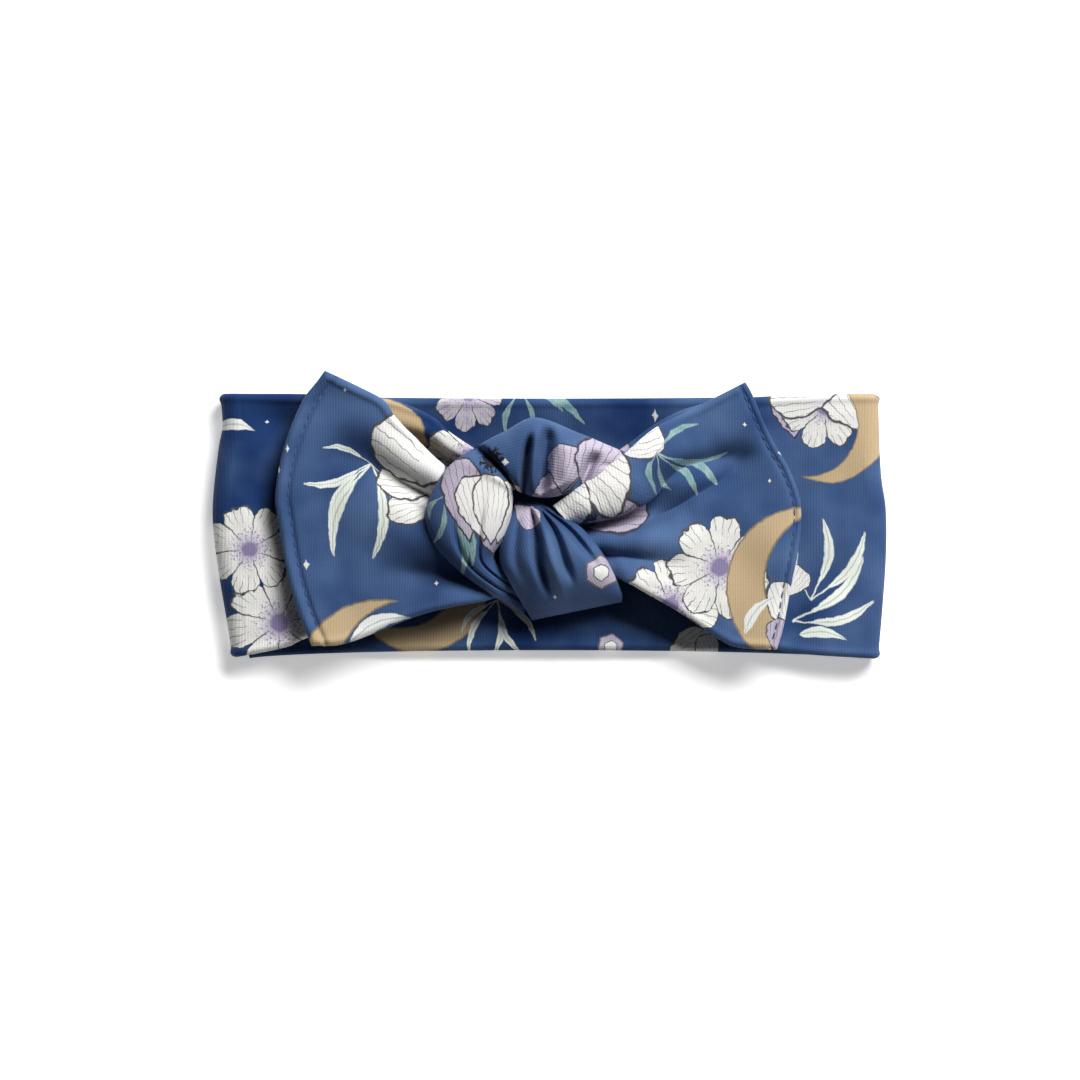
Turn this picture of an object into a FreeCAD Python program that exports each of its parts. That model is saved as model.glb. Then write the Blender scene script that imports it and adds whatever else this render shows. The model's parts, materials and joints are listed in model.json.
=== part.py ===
"""Knotted jersey headband lying flat. A two-ply strip of cloth forms a closed loop, its ends
are gathered and knotted together at the front, and they spread out as two tails.

Row frame: +X towards the right tail, +Y towards the upper edge of the band, +Z up from the
surface that the band lies on. The origin is on that surface, under the middle of the band.
Lengths are in millimetres.
"""

import FreeCAD
import Part
import math
import os

Vector = FreeCAD.Vector

# ---- driving dimensions -------------------------------------------------------------------
LOOP_WIDTH = 171.0            # the closed loop laid flat, fold to fold
BAND_TOP = 33.5               # upper edge of the band, Y
BAND_BOTTOM = -33.8           # lower edge of the band, Y
PLY = 0.7                     # one ply of jersey
SEAM_STEP = 0.5               # room between the plies, filled at the edges by the turned seam
SEAM_WIDTH = 3.0              # width of the turned seam allowance
SEAM_POINTS = 90              # corners of the allowance's inner border in a tail
HEAD_GAP = 4.7                # clear height between the front and the back of the loop
BODY_CLEARANCE = 0.4          # air between a tail and the panel that it lies on
JOINT_GAP = 0.3               # air where the cloth is divided between two moving bodies

LEFT_HINGE_X = -32.0          # the left tail bends along this line
RIGHT_HINGE_X = 22.0          # the right tail bends along this line
RISE_START = 72.0             # the front panels start to rise this far from the middle
RISE_END = 20.0               # and they are level again from here to the knot
RISE = 5.9                    # height gained in between

STITCH_PITCH = 2.7            # topstitch, needle hole to needle hole
STITCH_LENGTH = 2.0
STITCH_WIDTH = 0.35
STITCH_HEIGHT = 0.25
LEFT_STITCH_INSET = 3.2       # topstitch line to sewn end
RIGHT_STITCH_INSET = 1.8

# ---- dimensions that follow ---------------------------------------------------------------
LAMINATE = 2 * PLY + SEAM_STEP                    # both plies and the room between them
FRONT_Z = LAMINATE + HEAD_GAP                     # under side of the front panels at the folds
FOLD_RADIUS = (FRONT_Z + LAMINATE) / 2            # outside radius of the side folds
FOLD_X = LOOP_WIDTH / 2 - FOLD_RADIUS             # centre of the fold arcs
PANEL_X = FOLD_X - JOINT_GAP                      # the front panels end here
BAND_HEIGHT = BAND_TOP - BAND_BOTTOM
SLOPE = math.degrees(math.atan(RISE / (RISE_START - RISE_END)))
TALL = 60.0                                       # higher and wider than any piece

# Layers of the laminate, as (distance from the inner face, thickness).
INNER_LAYER = (0.0, PLY)
SEAM_LAYER = (PLY, SEAM_STEP)
OUTER_LAYER = (PLY + SEAM_STEP, PLY)

# ---- outlines in plan ---------------------------------------------------------------------
# Edges of the front panels, each from the side fold to the knot.
LEFT_TOP_EDGE = [(-PANEL_X, BAND_TOP), (-60.0, 33.4), (-41.5, 32.0), (-28.0, 26.5), (-13.0, 17.0)]
LEFT_BOTTOM_EDGE = [(-PANEL_X, BAND_BOTTOM), (-66.3, -30.7), (-40.0, -25.0), (-12.5, -18.0)]
RIGHT_TOP_EDGE = [(PANEL_X, BAND_TOP), (52.0, 33.0), (30.0, 27.0), (12.0, 19.0)]
RIGHT_BOTTOM_EDGE = [(PANEL_X, BAND_BOTTOM), (62.0, -32.2), (36.0, -24.0), (12.0, -15.0)]

# The tails, from the hinge line outwards: upper edge, sewn end, lower edge.
LEFT_TAIL = {
    "top": [(LEFT_HINGE_X, 20.5), (-39.5, 28.0), (-47.6, 34.5), (-56.7, 39.1)],
    "end": [(-56.7, 39.1), (-62.8, 30.9), (-67.3, 19.3), (-69.2, 7.2), (-66.5, -11.2), (-60.0, -30.4)],
    "bottom": [(-60.0, -30.4), (-51.0, -29.5), (LEFT_HINGE_X, -22.5)],
}
RIGHT_TAIL = {
    "top": [(RIGHT_HINGE_X, 19.5), (38.0, 30.6), (49.4, 36.2)],
    "end": [(49.4, 36.2), (57.7, 19.1), (63.4, 6.5), (61.2, -14.3), (57.4, -31.4)],
    "bottom": [(57.4, -31.4), (46.0, -30.2), (33.0, -22.1), (RIGHT_HINGE_X, -16.0)],
}
# The gathered roots of the tails, between the hinge lines and the wraps of the knot.
LEFT_ROOT = [(LEFT_HINGE_X + JOINT_GAP, 20.3), (-22.0, 13.0), (-18.0, 0.0), (-18.0, -18.5),
             (LEFT_HINGE_X + JOINT_GAP, -22.4)]
RIGHT_ROOT = [(RIGHT_HINGE_X - JOINT_GAP, 19.3), (4.0, 6.0), (6.0, -12.0),
              (RIGHT_HINGE_X - JOINT_GAP, -15.9)]
ROOT_RISE = 2.0               # how much a root thickens towards the knot

# ---- the knot -----------------------------------------------------------------------------
# Stations of each wrap: centre, heading in degrees from +X, half width, half height.
LEFT_WRAP = [
    ((-14.5, 18.0, 13.5), 215, 4.0, 4.5),
    ((-20.0, 10.5, 16.0), 250, 9.2, 8.0),
    ((-20.5, 1.0, 16.5), 270, 10.2, 9.0),
    ((-18.5, -8.5, 14.5), 290, 8.8, 7.5),
    ((-12.5, -16.5, 11.5), 320, 4.3, 4.5),
]
UPPER_WRAP = [
    ((-14.5, 17.5, 14.0), 0, 4.0, 4.8),
    ((-8.5, 18.0, 16.5), 0, 8.4, 8.2),
    ((-2.0, 18.3, 17.5), 0, 9.6, 9.0),
    ((8.0, 17.5, 16.0), 0, 7.6, 7.0),
    ((19.0, 18.0, 14.5), 0, 3.8, 3.8),
]
LOWER_WRAP = [
    ((-5.5, 2.0, 14.5), 300, 4.5, 5.5),
    ((-0.5, -6.0, 17.5), 296, 10.5, 8.5),
    ((4.0, -13.5, 16.0), 290, 13.5, 8.5),
    ((8.0, -20.5, 12.3), 288, 11.0, 5.0),
]
CORE_CENTRE = Vector(-2.0, -1.0, 12.0)
CORE_RADII = (19.0, 17.5, 12.0 - LAMINATE - BODY_CLEARANCE)


# ---- helpers ------------------------------------------------------------------------------
def export(name, *solids):
    """Writes one node. Several solids share it as a group."""
    shape = solids[0] if len(solids) == 1 else Part.makeCompound(list(solids))
    shape.exportStep(os.path.join("parts", name + ".step"))
    print("%-26s %2d solid(s) %9.1f mm3 valid %s" % (name, len(shape.Solids), shape.Volume, shape.isValid()))


def cut_from(shape, *tools):
    """The largest solid left of the shape when every tool is taken away."""
    for tool in tools:
        shape = shape.cut(tool)
    return max(shape.Solids, key=lambda solid: solid.Volume)


def spline(points):
    """An edge through (x, y) points: straight for two, a smooth curve for more."""
    places = [Vector(x, y, 0) for x, y in points]
    if len(places) == 2:
        return Part.makeLine(*places)
    curve = Part.BSplineCurve()
    curve.interpolate(places)
    return curve.toShape()


def outline_face(*sides):
    """A face in plan. Each side is a list of points that starts where the last one ends."""
    return Part.Face(Part.Wire([spline(side) for side in sides]))


def column(face):
    """The face swept up through the whole model."""
    low = face.copy()
    low.translate(Vector(0, 0, -TALL / 4))
    return low.extrude(Vector(0, 0, TALL))


def slab(profile):
    """A closed (x, z) profile swept across the band, wider than any piece."""
    wire = Part.makePolygon([Vector(x, -TALL, z) for x, z in profile + profile[:1]])
    return Part.Face(wire).extrude(Vector(0, 2 * TALL, 0))


# ---- back of the loop ---------------------------------------------------------------------
def back_slab(layer, bottom, height):
    """One layer of the flat back panel. Its inner face looks up, into the loop."""
    depth, thickness = layer
    low = LAMINATE - depth - thickness
    return Part.makeBox(2 * FOLD_X, height, thickness, Vector(-FOLD_X, bottom, low))


def fold_layer(side, layer, bottom, height):
    """One layer of the half tube in which the cloth turns from the back to the front."""
    depth, thickness = layer
    inner = FOLD_RADIUS - LAMINATE + depth
    outer = inner + thickness

    def arc(radius):
        ends = [Vector(0, 0, -radius), Vector(side * radius, 0, 0), Vector(0, 0, radius)]
        return Part.Arc(*ends).toShape()

    low_step = Part.makeLine(Vector(0, 0, -outer), Vector(0, 0, -inner))
    high_step = Part.makeLine(Vector(0, 0, inner), Vector(0, 0, outer))
    face = Part.Face(Part.Wire(Part.__sortEdges__([arc(outer), high_step, arc(inner), low_step])))
    face.translate(Vector(side * FOLD_X, bottom, FOLD_RADIUS))
    return face.extrude(Vector(0, height, 0))


def build_back():
    """Back panel, side folds and the turned seams along their edges."""
    export("back_panel_outer_ply", back_slab(OUTER_LAYER, BAND_BOTTOM, BAND_HEIGHT))
    export("back_panel_inner_ply", back_slab(INNER_LAYER, BAND_BOTTOM, BAND_HEIGHT))
    edges = (BAND_BOTTOM, BAND_TOP - SEAM_WIDTH)
    export("back_panel_edge_seams", *[back_slab(SEAM_LAYER, edge, SEAM_WIDTH) for edge in edges])
    for side, name in ((-1, "left_fold"), (1, "right_fold")):
        export(name + "_outer_ply", fold_layer(side, OUTER_LAYER, BAND_BOTTOM, BAND_HEIGHT))
        export(name + "_inner_ply", fold_layer(side, INNER_LAYER, BAND_BOTTOM, BAND_HEIGHT))
        seams = [fold_layer(side, SEAM_LAYER, edge, SEAM_WIDTH) for edge in edges]
        export(name + "_edge_seams", *seams)


# ---- front panels -------------------------------------------------------------------------
def panel_under(x):
    """Height of the front panels' under side."""
    run = (RISE_START - abs(x)) / (RISE_START - RISE_END)
    return FRONT_Z + RISE * min(max(run, 0.0), 1.0)


def rising_slab(side, layer):
    """One layer of a front panel, before it is cut to its outline."""
    depth, thickness = layer
    stops = [side * x for x in (PANEL_X, RISE_START, RISE_END, 0.0)]
    under = [(x, panel_under(x) + depth) for x in stops]
    over = [(x, z + thickness) for x, z in reversed(under)]
    return slab(under + over)


def seam_strip(edge, inward):
    """A strip of seam width along an edge, on its +Y side if inward is 1."""
    other = [(x, y + inward * SEAM_WIDTH) for x, y in edge]
    return column(outline_face(edge, [edge[-1], other[-1]], other[::-1], [other[0], edge[0]]))


def build_front_panel(side, top, bottom, knot):
    """One front panel, gathered towards the knot."""
    name = "front_left" if side < 0 else "front_right"
    outline = column(outline_face(top, [top[-1], bottom[-1]], bottom[::-1], [bottom[0], top[0]]))
    export(name + "_inner_ply", cut_from(rising_slab(side, INNER_LAYER).common(outline), *knot))
    export(name + "_outer_ply", cut_from(rising_slab(side, OUTER_LAYER).common(outline), *knot))
    seam = rising_slab(side, SEAM_LAYER)
    strips = [seam_strip(top, -1), seam_strip(bottom, 1)]
    export(name + "_edge_seams", *[cut_from(seam.common(strip), *knot) for strip in strips])


# ---- knot ---------------------------------------------------------------------------------
def ellipse_wire(centre, heading, half_width, half_height):
    """An upright ellipse square to a heading."""
    angle = math.radians(heading)
    middle = Vector(*centre)
    across = Vector(-math.sin(angle), math.cos(angle), 0) * half_width
    up = Vector(0, 0, half_height)
    long_axis, short_axis = (across, up) if half_width >= half_height else (up, across * -1)
    ellipse = Part.Ellipse(middle + long_axis, middle + short_axis, middle)
    return Part.Wire(ellipse.toShape())


def wrap(stations):
    """A swelling strand of gathered cloth."""
    wires = [ellipse_wire(*station) for station in stations]
    return Part.makeLoft(wires, True, False)


def ellipsoid(centre, radii):
    """A ball stretched along the axes."""
    matrix = FreeCAD.Matrix()
    matrix.scale(*radii)
    matrix.move(centre)
    return Part.makeSphere(1.0).transformGeometry(matrix)


def build_knot():
    """The knot's wraps and the crossing inside them, cut to fit each other."""
    upper = wrap(UPPER_WRAP)
    left = cut_from(wrap(LEFT_WRAP), upper)
    lower = cut_from(wrap(LOWER_WRAP), upper, left)
    core = cut_from(ellipsoid(CORE_CENTRE, CORE_RADII), upper, left, lower)
    export("knot_upper_wrap", upper)
    export("knot_left_wrap", left)
    export("knot_lower_wrap", lower)
    export("knot_core", core)
    return [upper, left, lower, core]


# ---- tails --------------------------------------------------------------------------------
def hinge_height(hinge):
    """Top of a tail at its hinge line, where the hinge axis lies."""
    return panel_under(hinge) + LAMINATE + BODY_CLEARANCE + LAMINATE


def lay_down(solid, side, hinge):
    """Tips a solid, built with the tail's top at Z = LAMINATE, to lie over the rising panel."""
    tilt = FreeCAD.Rotation(Vector(0, 1, 0), side * SLOPE)
    pivot = Vector(hinge, 0, LAMINATE)
    place = Vector(hinge, 0, hinge_height(hinge)) - tilt.multVec(pivot)
    solid.Placement = FreeCAD.Placement(place, tilt).multiply(solid.Placement)
    return solid


def turned_seam(face, hinge):
    """The turned seam allowance inside the three free edges of a tail."""
    rise = Vector(0, 0, SEAM_STEP)
    border = face.makeOffset2D(-SEAM_WIDTH).OuterWire.discretize(SEAM_POINTS)
    inside = Part.Face(Part.makePolygon(border[:-1] + border[:1]))
    reach = SEAM_WIDTH + JOINT_GAP
    hinge_strip = Part.makeBox(2 * reach, 2 * TALL, 2, Vector(hinge - reach, -TALL, -1))
    ring = cut_from(face.extrude(rise), inside.extrude(rise), hinge_strip)
    ring.translate(Vector(0, 0, PLY))
    return ring


def topstitches(end, side, inset):
    """Single stitches in a row inside the sewn end, lying on the upper ply."""
    curve = spline(end).Curve
    length = curve.length()
    count = int((length - 2 * inset) / STITCH_PITCH)
    start = (length - count * STITCH_PITCH) / 2
    stitches = []
    for number in range(count):
        parameter = curve.parameterAtDistance(start + (number + 0.5) * STITCH_PITCH)
        tangent = curve.tangent(parameter)[0]
        inward = Vector(-tangent.y, tangent.x, 0)
        if inward.x * side > 0:
            inward = inward * -1
        place = curve.value(parameter) + inward * inset + Vector(0, 0, LAMINATE)
        stitch = Part.makeBox(STITCH_LENGTH, STITCH_WIDTH, STITCH_HEIGHT,
                              Vector(-STITCH_LENGTH / 2, -STITCH_WIDTH / 2, 0))
        turn = FreeCAD.Rotation(Vector(0, 0, 1), math.degrees(math.atan2(tangent.y, tangent.x)))
        stitch.Placement = FreeCAD.Placement(place, turn)
        stitches.append(stitch)
    return stitches


def build_tail(side, tail, hinge, inset):
    """The plies, turned seam and topstitching of one tail."""
    name = "left_tail" if side < 0 else "right_tail"
    face = outline_face(tail["top"], tail["end"], tail["bottom"], [tail["bottom"][-1], tail["top"][0]])
    under = face.extrude(Vector(0, 0, PLY))
    upper = under.copy()
    upper.translate(Vector(0, 0, PLY + SEAM_STEP))
    export(name + "_under_ply", lay_down(under, side, hinge))
    export(name + "_upper_ply", lay_down(upper, side, hinge))
    export(name + "_turned_seam", lay_down(turned_seam(face, hinge), side, hinge))
    stitches = topstitches(tail["end"], side, inset)
    export(name + "_topstitch", *[lay_down(stitch, side, hinge) for stitch in stitches])


def build_root(side, corners, hinge, knot):
    """The gathered root of a tail, resting on the front panel and cut to fit the knot."""
    name = "left_tail_root" if side < 0 else "right_tail_root"
    outline = column(Part.Face(Part.makePolygon([Vector(x, y, 0) for x, y in corners + corners[:1]])))
    stops = [hinge, side * RISE_END, 0.0]
    under = [(x, panel_under(x) + LAMINATE) for x in stops]
    over = [(0.0, under[-1][1] + LAMINATE + ROOT_RISE), (hinge, hinge_height(hinge))]
    export(name, cut_from(slab(under + over).common(outline), *knot))


# ---- the whole headband -------------------------------------------------------------------
def main():
    os.makedirs("parts", exist_ok=True)
    build_back()
    knot = build_knot()
    build_front_panel(-1, LEFT_TOP_EDGE, LEFT_BOTTOM_EDGE, knot)
    build_front_panel(1, RIGHT_TOP_EDGE, RIGHT_BOTTOM_EDGE, knot)
    build_tail(-1, LEFT_TAIL, LEFT_HINGE_X, LEFT_STITCH_INSET)
    build_tail(1, RIGHT_TAIL, RIGHT_HINGE_X, RIGHT_STITCH_INSET)
    build_root(-1, LEFT_ROOT, LEFT_HINGE_X, knot)
    build_root(1, RIGHT_ROOT, RIGHT_HINGE_X, knot)
    for name, hinge in (("left", LEFT_HINGE_X), ("right", RIGHT_HINGE_X)):
        print("%s hinge axis at x %.2f z %.3f" % (name, hinge, hinge_height(hinge)))


main()
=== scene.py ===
"""Knotted jersey headband lying flat: the cloth, print, stitching, light and camera.

Shapes are worked out in millimetres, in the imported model's frame, and turned into metres when a
mesh is made.
"""

import json
import math
import random

import bpy
import numpy as np
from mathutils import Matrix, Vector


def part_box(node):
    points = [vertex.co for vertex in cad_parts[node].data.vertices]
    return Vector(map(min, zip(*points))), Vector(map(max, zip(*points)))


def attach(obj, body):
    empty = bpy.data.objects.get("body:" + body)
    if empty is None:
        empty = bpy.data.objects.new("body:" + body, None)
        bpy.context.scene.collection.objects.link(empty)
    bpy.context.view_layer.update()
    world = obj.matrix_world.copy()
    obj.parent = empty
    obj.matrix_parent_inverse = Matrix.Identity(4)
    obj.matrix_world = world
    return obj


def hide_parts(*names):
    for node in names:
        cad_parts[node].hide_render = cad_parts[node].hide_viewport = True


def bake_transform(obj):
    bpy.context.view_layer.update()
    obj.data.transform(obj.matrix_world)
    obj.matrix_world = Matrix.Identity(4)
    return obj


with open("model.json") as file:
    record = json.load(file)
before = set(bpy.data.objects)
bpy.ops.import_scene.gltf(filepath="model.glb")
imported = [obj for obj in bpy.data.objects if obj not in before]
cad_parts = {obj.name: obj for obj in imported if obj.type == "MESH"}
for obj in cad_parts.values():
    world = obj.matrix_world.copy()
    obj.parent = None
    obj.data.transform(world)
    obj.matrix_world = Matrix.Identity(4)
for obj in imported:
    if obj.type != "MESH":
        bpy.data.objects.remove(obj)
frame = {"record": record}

MM = 0.001
TURN = 2 * math.pi
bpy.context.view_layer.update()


# ---- places taken from the frame --------------------------------------------------------------
def node_box(node):
    """A node's lowest and highest corner in millimetres."""
    low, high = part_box(node)
    return np.array(low) / MM, np.array(high) / MM


def joint_place(name):
    """Where a hinge's axis lies, in millimetres."""
    joints = frame["record"]["behaviour"]["joints"]
    return np.array(next(joint["pos_m"] for joint in joints if joint["name"] == name)) / MM


PANEL_LOW, PANEL_HIGH = node_box("back_panel_outer_ply")
INNER_HIGH = node_box("back_panel_inner_ply")[1]
FOLD_HIGH = node_box("right_fold_outer_ply")[1]
LEFT_HINGE = joint_place("left_tail_lift")
RIGHT_HINGE = joint_place("right_tail_lift")

THICK = INNER_HIGH[2]                     # both plies of the band
HALF = THICK / 2
FOLD_R = FOLD_HIGH[2] / 2                 # outside radius of a side fold
FOLD_X = FOLD_HIGH[0] - FOLD_R            # centre of a side fold
BAND_TOP = PANEL_HIGH[1]
BAND_BOTTOM = PANEL_LOW[1]
FRONT_MID = FOLD_HIGH[2] - HALF           # middle of the front panels beside the folds
RISE = 5.9                                # how far the front panels rise to the knot
RISE_START = 72.0                         # distances from the middle where they start to rise
RISE_END = 20.0                           # and where they are at their highest

EDGE_ROLL = 0.4                           # how far a turned edge swells over the plies
ROLL_INSET = 1.3                          # how far in from the edge it swells most
ROLL_WIDTH = 0.9
EDGE_ROUND = 1.1                          # how far in from the edge the plies close to a round
THINNEST = 0.06                           # half of what is left of the two plies at their edge
PLY_GAP = 0.03                            # half the gap between the plies
GROOVE_DEPTH = 0.75                       # how deep a topstitch draws the cloth in
GROOVE_WIDTH = 0.7

STITCH_PITCH = 2.7
STITCH_LENGTH = 2.1
STITCH_RISE = 0.10                        # how far a stitch's middle stands out of the cloth
STITCH_SINK = 0.12                        # how deep its ends go in
THREAD_RADIUS = 0.2
THREAD_RINGS = 9
THREAD_SIDES = 10

STRAND_WIDE = 0.9                         # powers that square off a strand's round section
STRAND_TALL = 0.8
STRAND_CLOSE = 0.35                       # stations over which a strand closes at its ends

CURVE_STEPS = 24                          # points worked out between two points of a curve
EDGE_POINTS = 400
FOLD_ROWS = 26                            # rows of a front panel that go round the side fold


# ---- curves and fields ------------------------------------------------------------------------
def lengths_along(points):
    """How far each point is from the first, along the line through them."""
    return np.concatenate([[0], np.cumsum(np.linalg.norm(np.diff(points, axis=0), axis=1))])


def curve(points, count):
    """count points evenly spaced along a smooth curve through the points."""
    p = np.array(points, float)
    ends = np.vstack([2 * p[0] - p[1], p, 2 * p[-1] - p[-2]])
    fine = []
    for a, b, c, d in zip(ends, ends[1:], ends[2:], ends[3:]):
        for t in np.linspace(0, 1, CURVE_STEPS, endpoint=False):
            fine.append(0.5 * (2 * b + (c - a) * t + (2 * a - 5 * b + 4 * c - d) * t ** 2
                               + (3 * b - a - 3 * c + d) * t ** 3))
    fine = np.array(fine + [p[-1]])
    along = lengths_along(fine)
    want = np.linspace(0, along[-1], count)
    return np.stack([np.interp(want, along, fine[:, k]) for k in range(p.shape[1])], axis=1)


def smooth(low, high, x):
    """0 before low, 1 after high, an easy curve between."""
    t = np.clip((x - low) / (high - low), 0, 1)
    return t * t * (3 - 2 * t)


def bump(x, centre, width):
    """1 at centre, falling to nothing over the width."""
    return np.exp(-((x - centre) / width) ** 2)


def crowded(count, share=0.6):
    """0 to 1, with the steps closer together towards both ends."""
    t = np.linspace(0, 1, count)
    return (1 - share) * t + share * (0.5 - 0.5 * np.cos(math.pi * t))


def waves(x, y, seed, size):
    """Soft uneven undulation between about -1 and 1, with swells of the given size."""
    pick = random.Random(seed)
    total = 0
    for step in range(6):
        way = pick.uniform(0, TURN)
        length = size * pick.uniform(0.7, 1.9)
        shift = pick.uniform(0, TURN)
        total = total + np.sin(TURN * (x * math.cos(way) + y * math.sin(way)) / length + shift)
    return total / 3.5


def patch(root, end, bottom, top, rows, columns):
    """A plan filled between four edges. Rows run from root to end, columns from bottom to top."""
    u, v = np.linspace(0, 1, rows), crowded(columns)
    r, e = curve(root, EDGE_POINTS), curve(end, EDGE_POINTS)
    b, t = curve(bottom, rows), curve(top, rows)
    fine = np.linspace(0, 1, EDGE_POINTS)
    r = np.stack([np.interp(v, fine, r[:, k]) for k in (0, 1)], axis=1)
    e = np.stack([np.interp(v, fine, e[:, k]) for k in (0, 1)], axis=1)
    along, across = u[:, None, None], v[None, :, None]
    back, low = 1 - along, 1 - across
    corners = back * low * b[0] + back * across * t[0] + along * low * b[-1] + along * across * t[-1]
    plan = back * r[None] + along * e[None] + low * b[:, None] + across * t[:, None] - corners
    size = (rows, columns)
    return plan, np.broadcast_to(u[:, None], size), np.broadcast_to(v[None], size)


# ---- meshes -----------------------------------------------------------------------------------
def normals(grid):
    """Unit normals of a grid of points."""
    n = np.cross(np.gradient(grid, axis=0), np.gradient(grid, axis=1))
    return n / np.maximum(np.linalg.norm(n, axis=2, keepdims=True), 1e-9)


def make_mesh(name, points, faces, prints, weaves, material):
    """A smooth mesh piece. prints and weaves are millimetres of cloth at each point."""
    mesh = bpy.data.meshes.new(name)
    mesh.from_pydata((np.asarray(points) * MM).tolist(), [], faces)
    piece = bpy.data.objects.new(name, mesh)
    bpy.context.collection.objects.link(piece)
    corners = np.empty(len(mesh.loops), int)
    mesh.loops.foreach_get("vertex_index", corners)
    for layer, places in (("Print", prints), ("Weave", weaves)):
        made = mesh.uv_layers.new(name=layer)
        made.data.foreach_set("uv", np.asarray(places, float)[corners].ravel() * MM)
    mesh.shade_smooth()
    mesh.set_sharp_from_angle(angle=math.radians(60))
    mesh.materials.append(material)
    mesh.update()
    return piece


def closed_sheet(name, top, under, plan, material):
    """A closed mesh between two grids of the same size. plan is where the cloth lies flat."""
    rows, columns = top.shape[:2]
    count = rows * columns
    index = np.arange(count).reshape(rows, columns)
    a, b, c, d = index[:-1, :-1], index[1:, :-1], index[1:, 1:], index[:-1, 1:]
    upper = np.stack([a, b, c, d], axis=-1).reshape(-1, 4)
    lower = upper[:, ::-1] + count
    rim = np.concatenate([index[:-1, 0], index[-1, :-1], index[:0:-1, -1], index[0, :0:-1]])
    after = np.roll(rim, -1)
    sides = np.stack([after, rim, rim + count, after + count], axis=-1)
    faces = np.vstack([upper, lower, sides]).tolist()
    points = np.vstack([top.reshape(-1, 3), under.reshape(-1, 3)])
    twice = np.vstack([plan.reshape(-1, 2)] * 2)
    return make_mesh(name, points, faces, twice, twice, material)


def distance_to(plan, edges):
    """How far each point of the grid is from the nearest of the edges."""
    border = np.vstack(edges)
    return np.array([np.linalg.norm(row[:, None] - border[None], axis=2).min(axis=1) for row in plan])


def two_plies(names, middle, material, groove=None, laid=None):
    """Two plies about a middle surface, closed to a round edge along the first and last column,
    and with a groove, for a topstitch, along the last row too. laid is where the print lies.
    Returns upper and lower piece and the upper surface."""
    plan = middle[..., :2] if laid is None else laid
    if normals(middle)[..., 2].mean() < 0:
        middle, plan = middle[:, ::-1], plan[:, ::-1]
    edges = [middle[:, 0], middle[:, -1]] + ([middle[-1]] if groove else [])
    inset = distance_to(middle, edges)
    rounded = np.sqrt(np.clip(1 - (1 - np.clip(inset / EDGE_ROUND, 0, 1)) ** 2, 0, 1))
    half = HALF * rounded + EDGE_ROLL * bump(inset, ROLL_INSET, ROLL_WIDTH)
    if groove:
        half = half - GROOVE_DEPTH * bump(distance_to(middle, [middle[-1]]), groove, GROOVE_WIDTH)
    lift = normals(middle) * np.maximum(half, THINNEST)[..., None]
    gap = normals(middle) * PLY_GAP
    upper = closed_sheet(names[0], middle + lift, middle + gap, plan, material)
    lower = closed_sheet(names[1], middle - gap, middle - lift, plan, material)
    return upper, lower, middle + lift


def wrap_mesh(name, stations, pleats, material, rows, around):
    """A closed strand of gathered cloth. A station is (one rail x, y, other rail x, y, top, floor);
    pleats(k, v) is the height added at station k, at v across from the first rail to the other."""
    numbered = [list(station) + [k] for k, station in enumerate(stations)]
    path = curve(numbered, rows)
    angle = np.linspace(0, TURN, around, endpoint=False)
    c, s = np.cos(angle), np.sin(angle)
    wide, tall = np.sign(c) * np.abs(c) ** STRAND_WIDE, np.sign(s) * np.abs(s) ** STRAND_TALL
    first, other = path[:, 0:2], path[:, 2:4]
    centre, reach = (first + other) / 2, (other - first) / 2
    top, floor, k = path[:, 4:5], path[:, 5:6], path[:, 6:7]
    from_end = np.minimum(k, len(stations) - 1 - k)
    taper = np.sqrt(np.clip(from_end / STRAND_CLOSE, 0.02, 1))
    v = np.broadcast_to((wide + 1) / 2, (rows, around))
    z = (top + floor) / 2 + (top - floor) / 2 * tall * taper
    z = z + pleats(np.broadcast_to(k, v.shape), v) * np.clip(tall, 0, 1) ** 0.7 * taper
    plan = centre[:, None] + reach[:, None] * wide[None, :, None]
    grid = np.concatenate([plan, z[..., None]], axis=2)
    size = np.linalg.norm(reach, axis=1)[:, None]
    across = np.where(tall >= 0, wide, np.sign(wide) * (2 - np.abs(wide)))[None] * size
    along = lengths_along(centre)
    beyond = (across - wide[None] * size) / np.maximum(size, 1)
    prints = plan + reach[:, None] * beyond[..., None]
    weaves = np.stack([across, np.broadcast_to(along[:, None], across.shape)], axis=2)
    index = np.arange(rows * around).reshape(rows, around)
    ring = np.roll(index, -1, axis=1)
    sides = np.stack([index[:-1], ring[:-1], ring[1:], index[1:]], axis=-1).reshape(-1, 4)
    faces = sides.tolist() + [index[0, ::-1].tolist(), index[-1].tolist()]
    lay = [field.reshape(-1, 2) for field in (prints, weaves)]
    piece = make_mesh(name, grid.reshape(-1, 3), faces, *lay, material)
    turn_outwards(piece.data)
    return piece


def turn_outwards(mesh):
    """Flips a closed mesh's faces if they look inwards, which shows in the sign of its volume."""
    mesh.calc_loop_triangles()
    volume = 0.0
    for triangle in mesh.loop_triangles:
        a, b, c = (mesh.vertices[i].co for i in triangle.vertices)
        volume += a.dot(b.cross(c))
    if volume < 0:
        mesh.flip_normals()


def thread_faces(first):
    """Faces of one stitch's tube, whose points start at first, with both ends closed."""
    faces = []
    for ring in range(THREAD_RINGS - 1):
        start = first + THREAD_SIDES * ring
        for j in range(THREAD_SIDES):
            a, b = start + j, start + (j + 1) % THREAD_SIDES
            faces.append([a, b, b + THREAD_SIDES, a + THREAD_SIDES])
    last = first + THREAD_SIDES * (THREAD_RINGS - 1)
    faces.append([first + j for j in reversed(range(THREAD_SIDES))])
    faces.append([last + j for j in range(THREAD_SIDES)])
    return faces


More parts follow.
